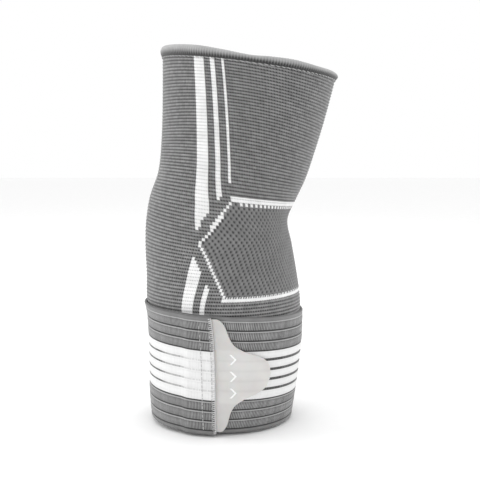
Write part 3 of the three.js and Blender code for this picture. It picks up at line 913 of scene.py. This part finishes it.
SEAM_PITCH = 2.6
SEAM_MARGIN = 3.0  # from the strap's edges
SEAM_THREAD_RADIUS = 0.24
START_SEAMS = (2, 6)  # degrees back from the strap's sewn start
END_SEAMS = (1.8, 8.4)  # degrees from the free end's edge


def stitch_column(name, angle_at, offset, material):
    """A row of stitches up the strap."""
    count = int((STRAP_HIGH - STRAP_LOW - 2 * SEAM_MARGIN) / SEAM_PITCH)
    low = STRAP_LOW + SEAM_MARGIN + np.arange(count) * SEAM_PITCH
    high = low + SEAM_PITCH * 0.78
    ends = [on_strap(angle_at(level), level, offset) for level in (low, high)]
    piece = capsules(name, ends, SEAM_THREAD_RADIUS, material)
    return piece


def make_strap_seams():
    under = CLEARANCE + WEBBING + 0.42
    for k, back in enumerate(START_SEAMS, start=1):
        angle = STRAP_START - back
        row = stitch_column(f"strap_start_seam_{k}", lambda level: angle, under, GREY_THREAD)
        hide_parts(f"strap_start_stitches_{k}")
        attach(row, "forearm")
    over = LIFT_OVER_TAB + WEBBING + 0.2
    for k, back in enumerate(END_SEAMS, start=1):
        row = stitch_column(f"strap_end_seam_{k}", lambda level: edge_angle(level) + back, over,
                            PALE_THREAD)
        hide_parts(f"strap_end_stitches_{k}")
        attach(row, "strap_end")


def make_edge_binding():
    """Over-edge stitches that bind the cut end of the strap."""
    pitch = 1.25
    level = np.arange(STRAP_LOW + 0.8, STRAP_HIGH - 0.6, pitch)
    angle = edge_angle(level)
    outer = LIFT_OVER_TAB + WEBBING
    first = on_strap(angle + 1.5, level, outer + 0.1)
    last = on_strap(angle - 0.28, level + 0.3, outer - 0.1)
    binding = capsules("strap_edge_stitches", (first, last), 0.26, SEAM_THREAD)
    turned = capsules("strap_edge_stitches_turned",
                      (last, on_strap(angle - 0.28, level + 0.35, LIFT_OVER_TAB + 0.2)), 0.24, SEAM_THREAD)
    low, high = level[:-1] + 0.1, level[1:] + 0.1
    links = [on_strap(edge_angle(v) - 0.2, v, outer + 0.05) for v in (low, high)]
    chain = capsules("strap_edge_chain", links, 0.22, SEAM_THREAD)
    piece = join([binding, turned, chain])
    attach(piece, "strap_end")


# ---- Tab ----

def tab_reach(share):
    """Height above the tab's middle and reach of its outline, at a share from 0 (middle) to 1 (tip)."""
    line = curve_through(TAB_OUTLINE, 200)
    at = np.abs(share) * (len(line) - 1)
    return [np.interp(at, np.arange(len(line)), line[:, c]) for c in (0, 1)]


def on_tab(reach, level, offset):
    """A point on the tab: reach in millimetres from the bending line."""
    return on_sleeve(edge_angle(level) - TAB_HINGE - reach / MM_PER_DEGREE, level, offset)


def rounded_slab(name, where, mids, half_wall, edge_distance, material, rounding=0.5, painted_shade=None):
    """A thin closed slab on a grid. where(offset) gives its points; its edges are rounded off."""
    near = np.clip(edge_distance / rounding, 0, 1)
    half = half_wall * np.sqrt(np.clip(1 - (1 - near) ** 2, 0.0, 1)) + 0.01
    layers = [where(mids - half), where(mids + half)]
    rows, columns = edge_distance.shape
    points = np.concatenate([layer.reshape(-1, 3) for layer in layers])
    base = rows * columns
    grid = np.arange(base).reshape(rows, columns)
    corners = [c.ravel() for c in (grid[:-1, :-1], grid[:-1, 1:], grid[1:, 1:], grid[1:, :-1])]
    outer = np.stack(corners, -1) + base
    inner = np.stack([corners[0], *corners[:0:-1]], -1)
    border = np.concatenate([grid[0, :-1], grid[:-1, -1], grid[-1, :0:-1], grid[:0:-1, 0]])
    after = np.roll(border, -1)
    rim = np.stack([border, after, after + base, border + base], -1)
    faces = np.concatenate([outer, inner, rim])
    both_layers = None if painted_shade is None else np.tile(painted_shade.ravel(), 2)
    return build(name, points, [faces], [material], [np.zeros(len(faces))], painted_shade=both_layers)


def tab_slab(name, reach, level, middle, half_wall, edge, material, rounding=0.5, painted_shade=None):
    """A slab on the tab's surface with its middle at one offset, turned so that its faces look outwards."""
    def place(offset):
        return on_tab(reach, level, offset[:, ::-1])[:, ::-1]

    mids = np.full(reach.shape, middle)
    turned = None if painted_shade is None else painted_shade[:, ::-1]
    return rounded_slab(name, place, mids, half_wall, edge[:, ::-1], material, rounding, turned)


def spread(count):
    """Shares from 0 to 1, closer together towards both ends."""
    t = np.linspace(-1, 1, count)
    return 0.5 + 0.5 * np.sign(t) * (1 - (1 - np.abs(t)) ** 3.0)


def strap_behind(reach, level):
    """Painted shade on the tab from the strap behind it: the strap's grooves as faint lines, its grey bands
    all over, and the tail under the strap's end in painted shade.
    """
    turn = np.cos(np.radians(edge_angle(level) - TAB_HINGE - reach / MM_PER_DEGREE))
    on_strap_level = level + STRAP_SLANT * turn
    edges = band_edges()
    grooves = edges[list(WHITE_BANDS)[1:]]
    lines = sum(np.exp(-((on_strap_level - groove - 0.7) / 0.7) ** 2) for groove in grooves)
    low, high = edges[WHITE_BANDS[0]], edges[WHITE_BANDS[-1] + 1]
    outside = smooth((low - on_strap_level) / 2) + smooth((on_strap_level - high) / 2)
    return np.where(reach > 0, 0.4 * lines + 0.5 * outside, 0.2)


def make_tab():
    """The moulded tab with its sewn tail, as one piece."""
    rows, columns = 121, 60
    share = np.linspace(-0.999, 0.999, rows)[:, None]
    height, tip = tab_reach(share)
    level = np.broadcast_to(TAB_MIDDLE + np.sign(share) * height, (rows, columns))
    tail = -(TAB_HINGE + TAB_TAIL) * MM_PER_DEGREE
    reach = tail + (tip - tail) * spread(columns)[None, :]
    ends = np.minimum(TAB_OUTLINE[-1, 0] - height + 0.02, 5)
    edge = np.minimum(np.minimum(reach - tail, (tip - reach) * 0.8), ends)
    tab = tab_slab("pull_tab_moulding", reach, level, TAB_INNER + TAB_WALL / 2, TAB_WALL / 2, edge, TAB,
                   painted_shade=strap_behind(reach, level))
    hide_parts("pull_tab", "tab_sewn_tail")
    middle = on_tab(0, TAB_MIDDLE, TAB_INNER) * MM
    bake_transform(tab)


MARK_START = 6.5  # from the tab's bending line
MARK_PITCH = 10.5


def make_mark():
    """Three plain raised chevrons that point along the tab."""
    chevrons = []
    for k in (-1, 0, 1):
        up = np.linspace(-1, 1, 15)[:, None] * np.ones((1, 6))
        across = np.ones((15, 1)) * spread(6)[None, :]
        level = TAB_MIDDLE + k * MARK_PITCH + 3.2 * up
        reach = MARK_START + 3.0 * (1 - np.abs(up)) + 1.3 * across
        edge = np.minimum(np.minimum(across, 1 - across) * 1.3, (1 - np.abs(up)) * 3.2) + 0.02
        middle = TAB_INNER + TAB_WALL + 0.02
        chevrons.append(tab_slab("tab_mark", reach, level, middle, 0.16, edge, MARK, 0.25))
    mark = join(chevrons)
    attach(mark, "tab")


HOOK_PITCH = 1.5
HOOK_FIELD = 27  # hooks are set no further from the pad's middle or the bending line


def make_hook_pad():
    """The pad of small hooks under the tab, which grips the strap's woven loops."""
    rows, columns = 81, 30
    share = np.linspace(-0.99, 0.99, rows)[:, None]
    height, tip = tab_reach(share)
    level = np.broadcast_to(TAB_MIDDLE + HOOK_SHARE * np.sign(share) * height, (rows, columns))
    end = np.maximum(HOOK_SHARE * tip, HOOK_START + 0.4)
    reach = HOOK_START + (end - HOOK_START) * spread(columns)[None, :]
    edge = np.minimum(np.minimum(reach - HOOK_START, end - reach), (1 - np.abs(share)) * 20) + 0.02
    middle = HOOK_INNER + HOOK_WALL / 2
    base = tab_slab("hook_pad_base", reach, level, middle, HOOK_WALL / 2, edge, HOOK, 0.2)
    up, out = np.meshgrid(np.arange(-HOOK_FIELD, HOOK_FIELD + 1, HOOK_PITCH),
                          np.arange(HOOK_START + 0.8, HOOK_FIELD, HOOK_PITCH))
    up, out = up.ravel(), out.ravel()
    line = curve_through(TAB_OUTLINE, 200)
    room = HOOK_SHARE * np.interp(np.abs(up) / HOOK_SHARE, line[:, 0], line[:, 1]) - 0.6
    up, out = up[out < room], out[out < room]
    foot = on_tab(out, TAB_MIDDLE + up, HOOK_INNER + 0.1)
    tip = on_tab(out + 0.35, TAB_MIDDLE + up, HOOK_INNER - 0.2)
    stems = capsules("hook_pad_hooks", (foot, tip), 0.13, HOOK)
    pad = join([base, stems])
    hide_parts("hook_pad")
    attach(pad, "tab")


def main():
    make_sleeve()
    make_upper_cuff()
    make_grip()
    make_lower_cuff()
    make_strap()
    make_strap_seams()
    make_edge_binding()
    make_tab()
    make_mark()
    make_hook_pad()
    make_studio()


# ---- Studio ----

VIEW_DISTANCE = 0.565
VIEW_HEIGHT = 0.1715
AIM = (0.012, 0, 0.1162)
FIELD_OF_VIEW = 30.9
SENSOR = 36


def area_light(name, where, aim, size, power):
    data = bpy.data.lights.new(name, "AREA")
    data.shape = "RECTANGLE"
    data.size, data.size_y = size
    data.energy = power
    light = bpy.data.objects.new(name, data)
    light.location = where
    direction = np.subtract(aim, where)
    light.rotation_euler = Vector(direction).to_track_quat("-Z", "Y").to_euler()
    bpy.context.scene.collection.objects.link(light)


def make_studio():
    scene = bpy.context.scene
    floor = bpy.data.meshes.new("floor")
    reach = 6.0
    floor.from_pydata([(-reach, -reach, 0), (reach, -reach, 0), (reach, reach, 0), (-reach, reach, 0)], [],
                      [(0, 1, 2, 3)])
    floor.materials.append(floor_material())
    ground = bpy.data.objects.new("floor", floor)
    ground.location.z = -0.0003
    scene.collection.objects.link(ground)
    world = bpy.data.worlds.new("studio")
    world.use_nodes = True
    background = world.node_tree.nodes["Background"]
    give(background, {"Color": (1, 1, 1, 1), "Strength": 1.0})
    scene.world = world
    middle = (0.01, 0, 0.12)
    area_light("side_left", (-1.2, 0.1, 0.4), middle, (0.8, 1.2), 5)
    area_light("side_right", (1.1, 0.7, 0.4), middle, (0.8, 1.2), 5)
    area_light("top", (-0.2, 0.1, 1.4), middle, (1.0, 1.0), 4)
    scene.view_settings.view_transform = "Standard"
    data = bpy.data.cameras.new("camera")
    data.sensor_width = SENSOR
    data.lens = SENSOR / 2 / math.tan(math.radians(FIELD_OF_VIEW / 2))
    camera = bpy.data.objects.new("camera", data)
    camera.location = (AIM[0], -VIEW_DISTANCE, VIEW_HEIGHT)
    direction = Vector(AIM) - camera.location
    camera.rotation_euler = direction.to_track_quat("-Z", "Y").to_euler()
    scene.collection.objects.link(camera)
    scene.camera = camera


main()
